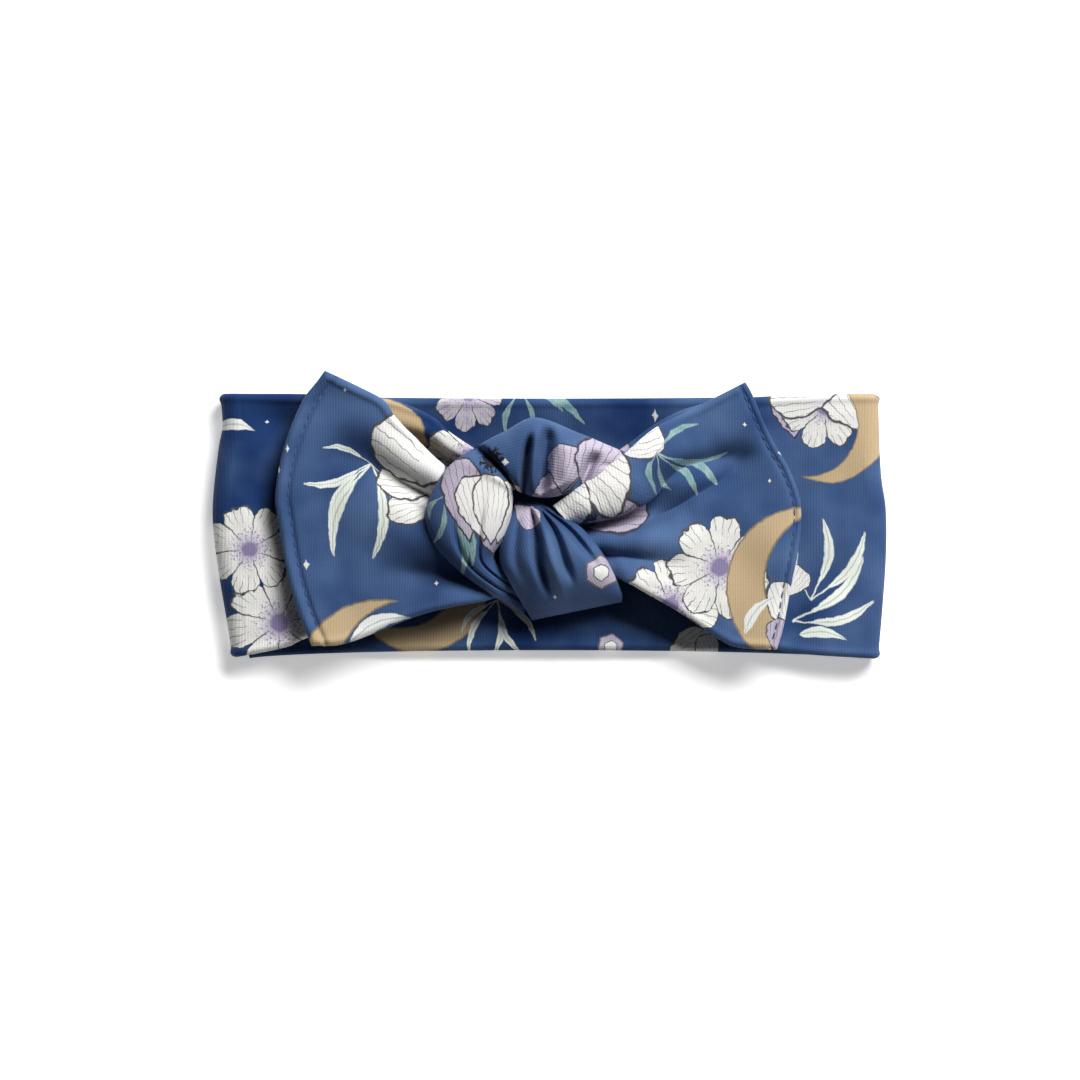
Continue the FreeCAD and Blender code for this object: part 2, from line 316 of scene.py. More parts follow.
def stitch_row(name, surface, inset, material):
    """Topstitches along the last row of a surface: short thread loops sunk at both ends."""
    end = surface[-1]
    along = lengths_along(end)
    flat = surface.reshape(-1, 3)
    face = normals(surface).reshape(-1, 3)
    inward = np.array([surface[0, :, 0].mean() - surface[-1, :, 0].mean(), 0])
    around = np.linspace(0, TURN, THREAD_SIDES, endpoint=False)
    points, faces = [], []
    for place in np.arange(inset + STITCH_PITCH / 2, along[-1] - inset, STITCH_PITCH):
        spot = np.array([np.interp(place, along, end[:, i]) for i in (0, 1)])
        ahead = np.array([np.interp(place + 0.5, along, end[:, i]) for i in (0, 1)]) - spot
        way = ahead / np.linalg.norm(ahead)
        side = np.array([-way[1], way[0]])
        side = side if side @ inward > 0 else -side
        across = np.array([*side, 0.0])
        faces += thread_faces(len(points))
        for step in np.linspace(-1, 1, THREAD_RINGS):
            want = spot + side * inset + way * step * STITCH_LENGTH / 2
            near = np.argmin(((flat[:, :2] - want) ** 2).sum(axis=1))
            rise = (STITCH_RISE + STITCH_SINK) * (1 - step ** 2) - STITCH_SINK
            base = np.array([*want, flat[near, 2]]) + face[near] * rise
            thin = THREAD_RADIUS * math.sqrt(max(1 - abs(step) ** 4, 0.08))
            points += [base + thin * (across * math.cos(t) + face[near] * math.sin(t)) for t in around]
    places = np.array(points)[:, :2]
    piece = make_mesh(name, points, faces, places, places, material)
    turn_outwards(piece.data)
    return piece


# ---- shader helpers ---------------------------------------------------------------------------
class Field:
    """A number over the surface, with the sums and products of Math nodes."""

    def __init__(self, tree, socket):
        self.tree, self.socket = tree, socket

    def _do(self, operation, *others):
        node = self.tree.nodes.new("ShaderNodeMath")
        node.operation = operation
        self.tree.links.new(self.socket, node.inputs[0])
        for slot, other in zip(node.inputs[1:], others):
            if isinstance(other, Field):
                self.tree.links.new(other.socket, slot)
            else:
                slot.default_value = other
        return Field(self.tree, node.outputs[0])

    def __add__(self, other):
        return self._do("ADD", other)

    def __sub__(self, other):
        return self._do("SUBTRACT", other)

    def __mul__(self, other):
        return self._do("MULTIPLY", other)

    def __truediv__(self, other):
        return self._do("DIVIDE", other)

    def __neg__(self):
        return self._do("MULTIPLY", -1.0)

    def power(self, other):
        return self._do("POWER", other)

    def abs(self):
        return self._do("ABSOLUTE")

    def sin(self):
        return self._do("SINE")

    def fract(self):
        return self._do("FRACT")

    def root(self):
        return self._do("SQRT")

    def atan2(self, other):
        return self._do("ARCTAN2", other)

    def least(self, other):
        return self._do("MINIMUM", other)

    def most(self, other):
        return self._do("MAXIMUM", other)

    def below(self, other, soft=0.02):
        """1 where this is below the other, with a soft border."""
        gap = -(self - other) / soft
        node = gap._do("ADD", 0.5)
        node.socket.node.use_clamp = True
        return node

    def above(self, other, soft=0.02):
        """1 where this is above the other, with a soft border."""
        return (-self).below(-other, soft)

    def within_unit(self):
        """This, kept just inside 0 to 1, so that its powers and half waves are sound."""
        return self.most(0.0001).least(0.9999)


def split(tree, vector):
    """The X and Y of a vector as fields."""
    node = tree.nodes.new("ShaderNodeSeparateXYZ")
    tree.links.new(vector, node.inputs[0])
    return Field(tree, node.outputs[0]), Field(tree, node.outputs[1])


def noise(tree, vector, scale, detail=2.0):
    """Noise from 0 to 1."""
    node = tree.nodes.new("ShaderNodeTexNoise")
    node.inputs["Scale"].default_value = scale
    node.inputs["Detail"].default_value = detail
    tree.links.new(vector, node.inputs["Vector"])
    return Field(tree, node.outputs["Fac"])


def blend_colour(tree, share, under, over):
    """under where share is 0, over where it is 1. Each is a colour or a socket."""
    node = tree.nodes.new("ShaderNodeMix")
    node.data_type = "RGBA"
    tree.links.new(share.socket, node.inputs[0])
    for slot, colour in ((node.inputs[6], under), (node.inputs[7], over)):
        if isinstance(colour, tuple):
            slot.default_value = (*colour, 1.0)
        else:
            tree.links.new(colour, slot)
    return node.outputs[2]


def new_group(name, draw):
    """A motif drawn on local coordinates: draw(tree, vector, p, q, tint) gives colour and mask."""
    tree = bpy.data.node_groups.new(name, "ShaderNodeTree")
    tree.interface.new_socket("Vector", in_out="INPUT", socket_type="NodeSocketVector")
    tree.interface.new_socket("Tint", in_out="INPUT", socket_type="NodeSocketColor")
    tree.interface.new_socket("Colour", in_out="OUTPUT", socket_type="NodeSocketColor")
    tree.interface.new_socket("Mask", in_out="OUTPUT", socket_type="NodeSocketFloat")
    inside, outside = tree.nodes.new("NodeGroupInput"), tree.nodes.new("NodeGroupOutput")
    p, q = split(tree, inside.outputs["Vector"])
    colour, mask = draw(tree, inside.outputs["Vector"], p, q, inside.outputs["Tint"])
    tree.links.new(colour, outside.inputs["Colour"])
    tree.links.new(mask.socket, outside.inputs["Mask"])
    return tree


# ---- print motifs -----------------------------------------------------------------------------
def rgb(red, green, blue):
    """A display colour, 0 to 255, as scene linear."""
    return tuple((c / 12.92 if c <= 0.04045 else ((c + 0.055) / 1.055) ** 2.4)
                 for c in (red / 255, green / 255, blue / 255))


NAVY = rgb(73, 99, 139)
NAVY_DEEP = rgb(13, 46, 94)
INK = rgb(20, 20, 30)
WHITE = rgb(221, 220, 216)
CREAM = rgb(205, 204, 199)
LAVENDER = rgb(177, 168, 185)
PLUM = rgb(126, 116, 150)
TAN = rgb(180, 158, 124)
PALE_LEAF = rgb(226, 233, 223)
TEAL_LEAF = rgb(98, 146, 148)
STALK = rgb(120, 138, 130)
SHEEN = rgb(150, 170, 215)
THREAD_DARK = rgb(34, 52, 100)
THREAD_LIGHT = rgb(62, 86, 140)
INK_SHARE = 0.92                # how far a drawn line covers what is under it


def draw_flower(tree, vector, p, q, tint):
    """Broad frilled petals that touch, round a stippled centre, radius 1."""
    petals = 7
    far = (p * p + q * q).root()
    turn = q.atan2(p) * (petals / TURN)
    cell = turn.fract() - 0.5
    uneven = noise(tree, vector, 2.3)
    frill = noise(tree, vector, 9.0)
    edge = -((cell.abs() * 2.0).power(3.6) * 0.27) + 0.92 + (uneven - 0.5) * 0.30 + (frill - 0.5) * 0.09
    mask = far.below(edge)
    rim = (edge - far).below(0.034, 0.012)
    bent = cell + (frill - 0.5) * 0.10
    gap = bent.abs().above(0.475, 0.03) * far.above(0.24, 0.05)
    vein = ((bent * 5.0).fract() - 0.5).abs().below(0.05, 0.05)
    reach = noise(tree, vector, 6.0) * 0.9
    vein = vein * far.above(reach + 0.12, 0.05) * 0.75
    body = blend_colour(tree, noise(tree, vector, 3.5).below(0.45, 0.3) * 0.8, tint, CREAM)
    halo = (far + (noise(tree, vector, 14.0) - 0.5) * 0.34).below(0.30, 0.22)
    body = blend_colour(tree, halo * 0.9, body, LAVENDER)
    body = blend_colour(tree, (far + (frill - 0.5) * 0.08).below(0.16, 0.05), body, PLUM)
    speck = noise(tree, vector, 24.0, 0.0).below(0.37, 0.03) * far.below(0.44, 0.08)
    body = blend_colour(tree, speck * 0.75, body, PLUM)
    lines = rim.most(gap).most(vein)
    return blend_colour(tree, lines * INK_SHARE, body, INK), mask


def draw_petal(tree, vector, p, q, tint):
    """One petal from 0 to 1 along p: narrow at the root, broad and frilled at the tip."""
    inside = p.within_unit()
    frill = noise(tree, vector, 5.0) - 0.5
    width = (inside.power(1.5) * math.pi).sin().power(0.62) * 0.36 + frill * 0.10
    tip = p + (noise(tree, vector, 3.0) - 0.5) * 0.16
    mask = (q.abs() - width).below(0.0) * p.above(0.0, 0.02) * tip.below(0.96, 0.02)
    rim = (width - q.abs()).least(-(tip - 0.96)).below(0.032, 0.012)
    spread = q / (p * 0.5 + 0.18) * 5.0 + frill * 0.8
    vein = (spread.fract() - 0.5).abs().below(0.045, 0.05) * p.above(frill * 0.9 + 0.30, 0.06) * 0.75
    soft = blend_colour(tree, p.below(0.25, 0.5) * 0.4, tint, LAVENDER)
    return blend_colour(tree, rim.most(vein) * INK_SHARE, soft, INK), mask


def draw_leaf(tree, vector, p, q, tint):
    """One slender leaf from 0 to 1 along p, bowed to one side."""
    inside = p.within_unit()
    bowed = q - (inside * math.pi).sin() * 0.09
    width = (inside.power(0.75) * math.pi).sin() * 0.085
    mask = (bowed.abs() - width).below(0.0, 0.014) * p.above(0.0, 0.02) * p.below(1.0, 0.02)
    rib = bowed.abs().below(0.010, 0.008)
    return blend_colour(tree, rib * 0.5, tint, TEAL_LEAF), mask


def draw_blade(tree, vector, p, q, tint):
    """A long curved leaf on a thin stalk, from 0 to 1 along p."""
    inside = p.within_unit()
    bowed = q - (inside.power(1.2) * math.pi).sin() * 0.13
    blade = ((p - 0.22) / 0.78).within_unit()
    width = (blade.power(0.9) * math.pi).sin() * 0.047 + 0.009
    mask = (bowed.abs() - width).below(0.0, 0.014) * p.above(0.0, 0.02) * p.below(0.99, 0.02)
    rib = bowed.abs().below(0.007, 0.010) * p.above(0.3, 0.1)
    shade = noise(tree, vector, 5.0).below(0.5, 0.3) * 0.4
    body = blend_colour(tree, shade, tint, CREAM)
    return blend_colour(tree, rib * 0.55, body, STALK), mask


def draw_crescent(tree, vector, p, q, tint):
    """A plain crescent of radius 1, open towards +p."""
    outer = (p * p + q * q).root() - 1.0
    moved = p - 0.42
    inner = -((moved * moved + q * q).root() - 0.92)
    shape = outer.most(inner)
    rim = shape.above(-0.022, 0.012)
    return blend_colour(tree, rim * 0.5, tint, INK), shape.below(0.0, 0.012)


def draw_cut_stone(tree, vector, p, q, tint):
    """A six-sided stone with a paler table."""
    hexagon = (p.abs() * 0.866 + q.abs() * 0.5).most(q.abs())
    rim = hexagon.above(0.88, 0.05)
    table = hexagon.below(0.46, 0.03)
    line = (hexagon - 0.46).abs().below(0.04, 0.03)
    body = blend_colour(tree, table, tint, WHITE)
    return blend_colour(tree, rim.most(line) * 0.75, body, INK), hexagon.below(1.0, 0.04)


def draw_spark(tree, vector, p, q, tint):
    """A four-pointed speck."""
    shape = p.abs().power(0.75) + q.abs().power(0.75)
    return blend_colour(tree, shape.below(0.3, 0.2), tint, WHITE), shape.below(1.0, 0.15)


def draw_burst(tree, vector, p, q, tint):
    """A dark spiky flower centre."""
    far = (p * p + q * q).root()
    spikes = (q.atan2(p) * 5.5 + noise(tree, vector, 3.0) * 9.0).sin().abs()
    edge = spikes.power(1.6) * 0.50 + 0.45
    return blend_colour(tree, far.below(0.3, 0.2) * 0.2, tint, NAVY), far.below(edge, 0.06)


DRAWINGS = {"flower": draw_flower, "petal": draw_petal, "leaf": draw_leaf, "blade": draw_blade,
            "crescent": draw_crescent, "stone": draw_cut_stone, "spark": draw_spark, "burst": draw_burst}
MOTIFS = {kind: new_group(kind, draw) for kind, draw in DRAWINGS.items()}


# ---- materials --------------------------------------------------------------------------------
DRAWN_WOBBLE = 0.9              # millimetres that the print's outlines wander, as if drawn by hand
MOTTLE_SCALE = 0.052            # swells of lighter and deeper navy, per millimetre
MOTTLE_SOFT = 0.46
RIB_PITCH = 0.7                 # from one rib of the knit to the next
COURSE_PITCH = 0.55             # from one row of loops to the next
TWIST_PITCH = 0.35              # from one turn of the sewing thread to the next


def new_material(name):
    """A new material, its node tree and its shader."""
    material = bpy.data.materials.new(name)
    material.use_nodes = True
    return material, material.node_tree, material.node_tree.nodes["Principled BSDF"]


def uv_place(tree, layer):
    """A UV layer's coordinates, in metres of cloth."""
    node = tree.nodes.new("ShaderNodeUVMap")
    node.uv_map = layer
    return node.outputs[0]


def add_relief(tree, shader, height, distance, strength=1.0):
    """A bump of the given depth in millimetres."""
    relief = tree.nodes.new("ShaderNodeBump")
    relief.inputs["Strength"].default_value = strength
    relief.inputs["Distance"].default_value = distance * MM
    tree.links.new(height.socket, relief.inputs["Height"])
    tree.links.new(relief.outputs[0], shader.inputs["Normal"])


def print_place(tree):
    """Millimetres of print, shifted a little to and fro."""
    scale = tree.nodes.new("ShaderNodeVectorMath")
    scale.operation = "SCALE"
    scale.inputs["Scale"].default_value = 1 / MM
    tree.links.new(uv_place(tree, "Print"), scale.inputs[0])
    wobble = tree.nodes.new("ShaderNodeTexNoise")
    wobble.inputs["Scale"].default_value = 0.45
    tree.links.new(scale.outputs[0], wobble.inputs["Vector"])
    shift = tree.nodes.new("ShaderNodeVectorMath")
    shift.operation = "MULTIPLY_ADD"
    shift.inputs[1].default_value = (DRAWN_WOBBLE, DRAWN_WOBBLE, 0)
    tree.links.new(wobble.outputs["Color"], shift.inputs[0])
    tree.links.new(scale.outputs[0], shift.inputs[2])
    return shift.outputs[0]


def printed_colour(tree, motifs, deep):
    """The mottled navy ground with the motifs laid on it in turn. deep sets how much of the ground takes
    the deeper navy; a higher deep darkens the whole piece as painted shade.
    """
    cloth = print_place(tree)
    mottle = noise(tree, cloth, MOTTLE_SCALE, 2.5)
    # a higher deep gives more of the deeper navy: painted shade over the whole piece
    colour = blend_colour(tree, mottle.below(deep, MOTTLE_SOFT), NAVY, NAVY_DEEP)
    for kind, x, y, degrees, size, tint in motifs:
        place = tree.nodes.new("ShaderNodeMapping")
        place.vector_type = "TEXTURE"
        place.inputs["Location"].default_value = (x + DRAWN_WOBBLE / 2, y + DRAWN_WOBBLE / 2, 0)
        place.inputs["Rotation"].default_value = (0, 0, math.radians(degrees))
        wide, tall = size if isinstance(size, tuple) else (size, size)
        place.inputs["Scale"].default_value = (wide, tall, 1)
        tree.links.new(cloth, place.inputs["Vector"])
        motif = tree.nodes.new("ShaderNodeGroup")
        motif.node_tree = MOTIFS[kind]
        motif.inputs["Tint"].default_value = (*tint, 1.0)
        tree.links.new(place.outputs[0], motif.inputs["Vector"])
        mask = Field(tree, motif.outputs["Mask"])
        colour = blend_colour(tree, mask, colour, motif.outputs["Colour"])
    return colour


def overlaid(tree, colour, tone):
    """The colour made lighter or darker by a tone about 0.5."""
    overlay = tree.nodes.new("ShaderNodeMix")
    overlay.data_type, overlay.blend_type = "RGBA", "OVERLAY"
    overlay.inputs[0].default_value = 1.0
    tree.links.new(colour, overlay.inputs[6])
    grey = tree.nodes.new("ShaderNodeCombineColor")
    for slot in grey.inputs:
        tree.links.new(tone.socket, slot)
    tree.links.new(grey.outputs[0], overlay.inputs[7])
    return overlay.outputs[2]


def jersey(name, motifs, deep=0.47):
    """Printed jersey. A motif is (kind, x, y, degrees, size, tint) in millimetres of print, and deep is
    how much of the ground takes the deeper navy; raised above the tails' and knot's 0.47, it is painted
    shade on the panels that lie under them."""
    material, tree, shader = new_material(name)
    weave = uv_place(tree, "Weave")
    x, y = split(tree, weave)
    ribs = (x * (TURN / (RIB_PITCH * MM))).sin()
    loops = (y * (TURN / (COURSE_PITCH * MM)) + ribs * 0.9).sin()
    knit = ribs * 0.6 + loops * 0.3
    fibre = noise(tree, weave, 2600.0, 2.0)
    tone = (knit * 0.035 + (fibre - 0.5) * 0.16) + 0.5
    colour = overlaid(tree, printed_colour(tree, motifs, deep), tone)
    tree.links.new(colour, shader.inputs["Base Color"])
    add_relief(tree, shader, knit + fibre * 0.8, 0.12, strength=0.35)
    shader.inputs["Roughness"].default_value = 0.86
    shader.inputs["Specular IOR Level"].default_value = 0.25
    shader.inputs["Sheen Weight"].default_value = 0.20
    shader.inputs["Sheen Roughness"].default_value = 0.45
    shader.inputs["Sheen Tint"].default_value = (*SHEEN, 1.0)
    return material


def thread(name):
    """Navy sewing thread with a twist."""
    material, tree, shader = new_material(name)
    x, y = split(tree, uv_place(tree, "Weave"))
    twist = ((x + y) * (TURN / (TWIST_PITCH * MM))).sin() * 0.5 + 0.5
    colour = blend_colour(tree, twist, THREAD_DARK, THREAD_LIGHT)
    tree.links.new(colour, shader.inputs["Base Color"])
    add_relief(tree, shader, twist, 0.05)
    shader.inputs["Roughness"].default_value = 0.55
    return material


def fan(x, y, tint, *tips):
    """Blades that spread from one place. A tip is (x, y, side it bows to, 1 or -1)."""
    blades = []
    for tip_x, tip_y, side in tips:
        reach = math.hypot(tip_x - x, tip_y - y)
        degrees = math.degrees(math.atan2(tip_y - y, tip_x - x))
        blades.append(("blade", x, y, degrees, (reach, side * max(reach, 13.0)), tint))
    return blades


FRONT_LEFT_PRINT = [
    ("leaf", -84.0, 24.5, -4, (9, 17), WHITE),
    ("flower", -68.5, -24.6, 12, 15.0, WHITE),
    ("flower", -76.0, -6.0, -20, 12.5, WHITE),
    ("spark", -72.0, 26.4, 0, 0.6, WHITE),
    ("crescent", -44.0, 18.5, 190, 14.0, TAN),
    ("flower", -20.0, 17.0, 80, 13.0, WHITE),
]
LEFT_TAIL_PRINT = [
    ("crescent", -43.0, -39.6, 9, 21.0, TAN),
    ("leaf", -50.5, -29.6, 22, (17, 24), WHITE),
    *fan(-45.0, 15.8, PALE_LEAF, (-57.6, 19.8, -1), (-62.4, 10.7, 1), (-55.6, -1.4, -1), (-54.6, -8.0, -1),
         (-44.6, -8.4, 1), (-39.2, 1.0, 1)),
    ("petal", -24.0, 7.0, 192, (18, 13), WHITE),
    ("petal", -25.0, 8.5, 168, (20, 14), WHITE),
    ("petal", -26.0, 10.5, 137, (24, 21), WHITE),
    ("spark", -61.5, -10.0, 0, (0.8, 1.4), CREAM),
    ("spark", -51.5, 34.5, 0, 0.6, WHITE),
    ("spark", -28.4, -15.0, 0, 0.6, WHITE),
    ("spark", -66.3, 19.5, 0, (0.5, 1.2), WHITE),
    ("spark", -68.4, 14.2, 0, (0.5, 1.0), WHITE),
]
BACK_PRINT = [
    ("flower", -20.5, 33.0, 30, 9.5, LAVENDER),
    *fan(-7.5, 34.0, TEAL_LEAF, (9.0, 25.9, 1), (3.5, 29.0, 1), (-10.9, 23.4, -1), (-5.0, 24.0, 1)),
    ("spark", 26.8, 28.2, 0, (0.9, 1.7), CREAM),
    ("crescent", -33.0, -15.0, 135, 17.5, TAN),
    *fan(-13.3, -19.0, PALE_LEAF, (-22.5, -27.4, -1), (-20.5, -32.5, -1), (-15.0, -34.0, 1),
         (-6.5, -33.0, -1), (-3.4, -29.6, 1)),
    ("stone", 15.5, -31.0, 20, 3.2, LAVENDER),
    ("petal", 29.0, -34.0, 24, 14, WHITE),
    ("petal", 42.0, -36.0, 110, 9, WHITE),
]
RIGHT_TAIL_PRINT = [
    ("petal", 5.0, -0.5, 16, (22, 17), LAVENDER),
    ("petal", 16.5, 17.0, 28, (14, 12), WHITE),
    ("petal", 6.5, 18.0, -38, (15.5, 21), WHITE),
    ("petal", -1.0, 10.5, -36, (12.5, 17), WHITE),
    *fan(26.5, 18.2, TEAL_LEAF, (37.4, 25.6, 1), (45.2, 19.2, -1), (42.8, 9.5, 1), (37.4, 7.2, 1),
         (31.2, 8.8, -1), (25.6, 10.6, -1)),
    ("flower", 30.5, -20.0, 15, 13.5, WHITE),
    ("flower", 43.0, -10.5, 4, 14.5, WHITE),
    ("crescent", 65.0, -15.8, 10, 20.6, TAN),
    ("petal", 60.5, -29.0, 100, (16, 11), WHITE),
    ("leaf", 49.5, -27.5, 52, (12, 17), WHITE),
    ("petal", 56.5, -32.0, 75, (9, 9), LAVENDER),
    ("spark", 49.3, 25.5, 0, 0.6, WHITE),
    ("spark", 55.7, 11.2, 0, 0.6, WHITE),
    ("spark", 58.2, 18.7, 20, (0.8, 1.3), WHITE),
]
FRONT_RIGHT_PRINT = [
    ("petal", 62.0, 22.0, 96, (15, 15), LAVENDER),
    ("flower", 69.5, 30.0, 20, 11.5, WHITE),
    ("petal", 82.0, 23.0, 118, (19, 24), WHITE),
    ("crescent", 71.1, 24.6, 172, 13.8, TAN),
    ("petal", 73.0, 33.0, 178, (18, 18), WHITE),
    *fan(61.7, -24.4, PALE_LEAF, (82.0, -19.0, -1), (79.6, -7.6, -1)),
    *fan(66.5, -19.0, PALE_LEAF, (69.4, 1.8, -1), (79.9, -1.4, -1), (63.0, -6.0, 1)),
    ("leaf", 63.5, -27.8, -6, (12, 16), PALE_LEAF),
    ("petal", 60.0, -18.0, 60, (9, 11), WHITE),
    ("petal", 7.0, 8.0, 75, 15, LAVENDER),
    ("petal", 12.0, 10.0, 60, 14, LAVENDER),
]
UPPER_WRAP_PRINT = [
    *fan(-26.4, 7.5, TEAL_LEAF, (-22.2, -13.0, 1), (-30.2, 1.4, -1), (-29.8, -5.0, 1), (-19.4, -10.6, 1)),
    ("petal", -20.0, -4.5, 98, (23, 15), LAVENDER),
    ("petal", -14.5, -7.5, 84, (12, 15), LAVENDER),
    ("burst", -14.6, 16.4, 0, 3.6, INK),
    ("petal", -16.4, -4.2, 102, (18, 14), WHITE),
    ("petal", -13.4, -4.8, 76, (17, 12), WHITE),
    ("petal", -14.8, -5.2, 90, (19, 13), WHITE),
    ("spark", -11.2, 15.8, 0, 1.1, WHITE),
    ("petal", -7.0, 3.0, 42, (21, 10), LAVENDER),
    ("petal", 3.0, 8.0, 82, (13, 14), LAVENDER),
    ("petal", 8.5, 8.5, 62, (15, 19), LAVENDER),
]
LOWER_WRAP_PRINT = [
    ("petal", -9.0, 5.5, -42, 8.5, LAVENDER),
    ("stone", 13.0, -11.8, 30, 4.0, LAVENDER),
    ("spark", -11.3, -15.5, 0, 0.6, WHITE),
    ("spark", 1.4, -18.0, 0, 0.6, WHITE),
]


# ---- the loop ---------------------------------------------------------------------------------
# How far each side fold draws in, from the band's lower edge (0) to its upper edge (1).
LEFT_BOW = [(0.0, 5.0), (0.16, 3.3), (0.34, 1.3), (0.5, 0.0), (0.62, 0.1), (0.79, 1.4), (0.88, 2.4),
            (1.0, 1.9)]
RIGHT_BOW = [(0.0, 2.0), (0.17, 1.0), (0.38, 0.0), (0.56, 0.0), (0.71, 1.3), (1.0, 2.0)]


def along_curve(points, x):
    """A smooth curve through (x, y) points, read at x."""
    line = curve(points, 300)
    return np.interp(x, line[:, 0], line[:, 1])


def fold_place(side, t):
    """Centre of a side fold, as a distance from the middle."""
    return FOLD_X - along_curve(LEFT_BOW if side < 0 else RIGHT_BOW, t)


def build_back(material):
    """The back of the loop, lying flat between the side folds."""
    u, t = np.linspace(-1, 1, 220)[:, None], crowded(110)[None]
    bow = np.where(u < 0, FOLD_X - fold_place(-1, t), FOLD_X - fold_place(1, t))
    x = u * FOLD_X - np.sign(u) * bow * np.abs(u) ** 4
    sag = 1 - u ** 2
    low, high = BAND_BOTTOM + 2.1 * sag ** 0.7, BAND_TOP - 1.2 * sag ** 0.7
    y = low + (high - low) * t
    z = HALF + EDGE_ROLL + 0.1 * (1 + waves(x, y, 3, 26)) * sag
    z += 1.8 * smooth(0.22, 0.0, t) * sag + 3.6 * smooth(0.78, 1.0, t) * smooth(0.0, 0.35, sag)
    middle = np.stack([x, y, z], axis=2)
    names = ("back_inner_cloth", "back_outer_cloth")
    inner, outer, _ = two_plies(names, middle, material)
    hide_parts("back_panel_inner_ply", "back_panel_edge_seams")
    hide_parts("back_panel_outer_ply")
    for piece in (inner, outer):
        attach(piece, "back_half")


# Edges of the front panels as (distance from the middle, y), from the knot to the side fold.
FRONT_EDGES = {
    -1: {"top": [(-4, 13), (3, 13), (10, 14), (16.3, 17.8), (25.1, 23.6), (30.2, 27.9), (41.5, 32.2),
                 (60, 33.3), (82, 33.5)],
         "bottom": [(-4, -11), (3, -11), (10, -12), (25, -16), (45, -22), (62, -28.7), (66.3, -30.7),
                    (75, -32.6), (82, -33.8)]},
    1: {"top": [(-4, 13), (3, 13), (10, 14.5), (18, 19), (30, 27.5), (42, 31.5), (60, 33), (82, 33.5)],
        "bottom": [(-4, -11), (3, -11), (10, -11.4), (18, -14), (30, -20), (45, -27), (60, -32),
                   (82, -33.8)]},
}
KNOT_X = 0.0                    # the front panels meet here, inside the knot


def build_front(side, material):
    """One front panel with the side fold that it comes from."""
    t = crowded(120)[None]
    fold = fold_place(side, t)
    bend = np.radians(np.linspace(-90, 90, FOLD_ROWS))[:, None]
    radius = FOLD_R - HALF
    run = np.linspace(0, 1, 170)[1:, None]
    edges = FRONT_EDGES[side]
    x = np.vstack([fold + radius * np.cos(bend), fold + (KNOT_X - fold) * run])
    low, high = along_curve(edges["bottom"], x), along_curve(edges["top"], x)
    y = low + (high - low) * t
    near = smooth(52, 22, x)
    pleats = near * (-7.4 + 0.6 * np.cos(TURN * 3.4 * t + 0.6)) - 1.6 * smooth(66, 50, x)
    near = near * smooth(0, 12, x)
    if side < 0:
        pleats += near * (7.6 * np.exp(-((t - 0.97) / 0.10) ** 6) - 2.8 * bump(t, 0.80, 0.06))
        pleats -= 3.6 * bump(x, 67, 8) * (bump(t, 0.60, 0.17) + 0.9 * bump(t, 0.88, 0.08))
    else:
        pleats += near * (4.6 * bump(t, 0.95, 0.12))
        pleats -= 2.4 * bump(x, 62, 5) * (bump(t, 0.5, 0.3) + 0.9 * bump(t, 0.12, 0.12))
    drape = 0.7 * waves(side * x, y, 5 + side, 26) * smooth(82, 74, x) * smooth(0, 12, x)
    flat = FRONT_MID + RISE * smooth(RISE_START, RISE_END, x) + pleats + drape
    rounded = FOLD_R + EDGE_ROLL / 2 + (radius - EDGE_ROLL / 2) * np.sin(bend) * np.ones_like(t)
    z = np.vstack([rounded, flat[FOLD_ROWS:]])
    middle = np.stack([side * x, y, z], axis=2)
    word = "left" if side < 0 else "right"
    names = (word + "_front_outer_cloth", word + "_front_inner_cloth")
    outer, inner, _ = two_plies(names, middle, material)
    front, fold_node = "front_" + word, word + "_fold"
    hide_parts(front + "_outer_ply", fold_node + "_outer_ply",
                front + "_edge_seams", fold_node + "_edge_seams")
    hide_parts(front + "_inner_ply", fold_node + "_inner_ply")
    for piece in (outer, inner):
        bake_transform(piece)


# ---- the tails --------------------------------------------------------------------------------
LEFT_INSET = 3.2                # from the end of the left tail to its topstitch
RIGHT_INSET = 1.8

LEFT_OUTLINE = {
    "root": [(-11, -17), (-16, -4), (-22, 13)],
    "end": [(-60.0, -30.4), (-63.3, -22.3), (-66.5, -11.2), (-68.6, 1.4), (-69.3, 8.0), (-67.3, 19.3),
            (-62.8, 30.9), (-58.5, 36.7), (-56.7, 39.1)],
    "bottom": [(-11, -17), (-16, -19), (-24.6, -20.6), (-34.0, -23.1), (-51.1, -29.7), (-60.0, -30.4)],
    "top": [(-22, 13), (-26.9, 15.3), (-34.5, 22.9), (-39.0, 27.6), (-41.8, 31.6), (-47.6, 34.8),
            (-56.7, 39.1)],
}
RIGHT_OUTLINE = {
    "root": [(16, -12), (9, -3), (1.4, 4.2)],
    "end": [(57.4, -31.4), (59.2, -25.1), (61.2, -14.3), (63.0, -4.9), (63.5, 5.2), (60.7, 14.0),
            (57.7, 19.1), (54.4, 25.4), (51.1, 33.2), (49.4, 36.2)],
    "bottom": [(16, -12), (23.9, -16.8), (33.0, -22.1), (43.1, -28.9), (48.1, -30.9), (57.4, -31.4)],
    "top": [(1.4, 4.2), (12.8, 12.8), (19.1, 17.6), (26.9, 24.6), (38.0, 30.4), (49.4, 36.2)],
}


